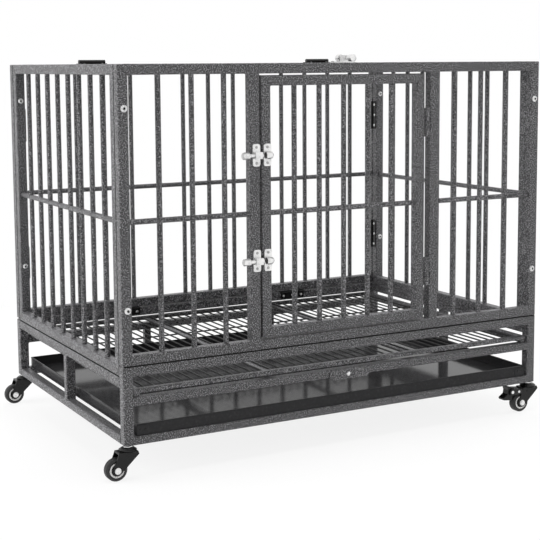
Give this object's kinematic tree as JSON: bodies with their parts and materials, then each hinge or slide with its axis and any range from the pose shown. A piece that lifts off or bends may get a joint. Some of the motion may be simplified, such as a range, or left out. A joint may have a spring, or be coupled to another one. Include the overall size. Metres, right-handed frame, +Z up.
{
  "type": "dog cage",
  "caption": "Wheeled steel-tube dog cage with barred walls, hinged front door and lid, slide latches, and a slide-out wire floor over a slide-out tray.",
  "frame": {"origin": "on the floor, under the middle of the whole cage with its casters and latches", "axes": "+X to the right along the front, +Y from the front to the back, +Z up"},
  "size_m": [0.9672, 0.642, 0.7475],
  "materials": {
    "hammertone_grey": "hammered speckle paint, semi-gloss",
    "black_steel": "black plated or painted steel",
    "tray_black": "gloss black coated sheet steel",
    "bright_zinc": "bright zinc plate",
    "tyre_rubber": "satin hard rubber tyre on its hub"
  },
  "bodies": {
    "cage": {"base_front_frame": "hammertone_grey", "base_back_frame": "hammertone_grey", "base_back_left_post": "hammertone_grey", "base_back_right_post": "hammertone_grey", "base_left_frame": "hammertone_grey", "base_right_frame": "hammertone_grey", "front_panel": "hammertone_grey", "back_panel": "hammertone_grey", "left_panel": "hammertone_grey", "right_panel": "hammertone_grey", "upper_latch_body": "bright_zinc", "lower_latch_body": "bright_zinc", "lid_latch_body": "bright_zinc", "latch_tab_screw": "bright_zinc", "left_lid_hinge_wall_leaf": "black_steel", "right_lid_hinge_wall_leaf": "black_steel", "front_left_caster_stem": "black_steel", "front_right_caster_stem": "black_steel", "back_left_caster_stem": "black_steel", "back_right_caster_stem": "black_steel", "upper_left_corner_hinge_side_leaf": "black_steel", "upper_left_corner_hinge_back_leaf": "black_steel", "lower_left_corner_hinge_side_leaf": "black_steel", "lower_left_corner_hinge_back_leaf": "black_steel", "left_fold_hinge_base_leaf": "black_steel", "left_fold_hinge_panel_leaf": "black_steel", "upper_right_corner_hinge_side_leaf": "black_steel", "upper_right_corner_hinge_back_leaf": "black_steel", "lower_right_corner_hinge_side_leaf": "black_steel", "lower_right_corner_hinge_back_leaf": "black_steel", "right_fold_hinge_base_leaf": "black_steel", "right_fold_hinge_panel_leaf": "black_steel"},
    "door": {"door": "hammertone_grey", "upper_latch_keeper": "bright_zinc", "lower_latch_keeper": "bright_zinc"},
    "lid": {"lid": "hammertone_grey", "lid_latch_keeper": "bright_zinc", "left_lid_hinge_lid_leaf": "black_steel", "right_lid_hinge_lid_leaf": "black_steel"},
    "upper_bolt": {"upper_latch_bolt": "bright_zinc"},
    "lower_bolt": {"lower_latch_bolt": "bright_zinc"},
    "lid_bolt": {"lid_latch_bolt": "bright_zinc"},
    "tray": {"tray": "tray_black"},
    "floor_grate": {"floor_grate": "hammertone_grey"},
    "latch_tab": {"latch_tab": "hammertone_grey"},
    "front_left_caster": {"front_left_fork": "black_steel", "front_left_axle_bolt": "bright_zinc"},
    "front_left_wheel": {"front_left_wheel": "tyre_rubber"},
    "front_right_caster": {"front_right_fork": "black_steel", "front_right_axle_bolt": "bright_zinc"},
    "front_right_wheel": {"front_right_wheel": "tyre_rubber"},
    "front_right_brake": {"front_right_brake_pedal": "black_steel"},
    "back_left_caster": {"back_left_fork": "black_steel", "back_left_axle_bolt": "bright_zinc"},
    "back_left_wheel": {"back_left_wheel": "tyre_rubber"},
    "back_right_caster": {"back_right_fork": "black_steel", "back_right_axle_bolt": "bright_zinc"},
    "back_right_wheel": {"back_right_wheel": "tyre_rubber"},
    "back_right_brake": {"back_right_brake_pedal": "black_steel"}
  },
  "joints": [
    {"name": "door_swing", "type": "hinge", "parent": "cage", "child": "door", "pos_m": [0.19705, -0.29795, 0.4674], "axis": [0, 0, 1], "range_deg": [0, 135]},
    {"name": "lid_swing", "type": "hinge", "parent": "cage", "child": "lid", "pos_m": [0.01315, 0.2943, 0.7367], "axis": [-1, 0, 0], "range_deg": [0, 200]},
    {"name": "upper_bolt_slide", "type": "slide", "parent": "cage", "child": "upper_bolt", "axis": [1, 0, 0], "range_m": [-0.012, 0.01]},
    {"name": "lower_bolt_slide", "type": "slide", "parent": "cage", "child": "lower_bolt", "axis": [1, 0, 0], "range_m": [-0.012, 0.01]},
    {"name": "lid_bolt_slide", "type": "slide", "parent": "cage", "child": "lid_bolt", "axis": [0, 1, 0], "range_m": [-0.012, 0.01]},
    {"name": "tray_slide", "type": "slide", "parent": "cage", "child": "tray", "axis": [0, -1, 0], "range_m": [0, 0.55]},
    {"name": "floor_grate_slide", "type": "slide", "parent": "cage", "child": "floor_grate", "axis": [0, -1, 0], "range_m": [0, 0.55]},
    {"name": "latch_tab_turn", "type": "hinge", "parent": "cage", "child": "latch_tab", "pos_m": [0.01315, -0.30095, 0.1365], "axis": [0, -1, 0], "range_deg": [-90, 0]},
    {"name": "front_left_swivel", "type": "hinge", "parent": "cage", "child": "front_left_caster", "pos_m": [-0.43985, -0.29045, 0.05], "axis": [0, 0, 1], "continuous": true},
    {"name": "front_left_spin", "type": "hinge", "parent": "front_left_caster", "child": "front_left_wheel", "pos_m": [-0.46335, -0.29045, 0.0203], "axis": [0, 1, 0], "continuous": true},
    {"name": "front_right_swivel", "type": "hinge", "parent": "cage", "child": "front_right_caster", "pos_m": [0.46615, -0.29045, 0.05], "axis": [0, 0, 1], "continuous": true},
    {"name": "front_right_spin", "type": "hinge", "parent": "front_right_caster", "child": "front_right_wheel", "pos_m": [0.44265, -0.29045, 0.0203], "axis": [0, 1, 0], "continuous": true},
    {"name": "front_right_brake_press", "type": "hinge", "parent": "front_right_caster", "child": "front_right_brake", "pos_m": [0.45615, -0.29045, 0.044], "axis": [0, -1, 0], "range_deg": [0, 8]},
    {"name": "back_left_swivel", "type": "hinge", "parent": "cage", "child": "back_left_caster", "pos_m": [-0.43985, 0.30455, 0.05], "axis": [0, 0, 1], "continuous": true},
    {"name": "back_left_spin", "type": "hinge", "parent": "back_left_caster", "child": "back_left_wheel", "pos_m": [-0.46335, 0.30455, 0.0203], "axis": [0, 1, 0], "continuous": true},
    {"name": "back_right_swivel", "type": "hinge", "parent": "cage", "child": "back_right_caster", "pos_m": [0.46615, 0.30455, 0.05], "axis": [0, 0, 1], "continuous": true},
    {"name": "back_right_spin", "type": "hinge", "parent": "back_right_caster", "child": "back_right_wheel", "pos_m": [0.44265, 0.30455, 0.0203], "axis": [0, 1, 0], "continuous": true},
    {"name": "back_right_brake_press", "type": "hinge", "parent": "back_right_caster", "child": "back_right_brake", "pos_m": [0.45615, 0.30455, 0.044], "axis": [0, -1, 0], "range_deg": [0, 8]}
  ]
}
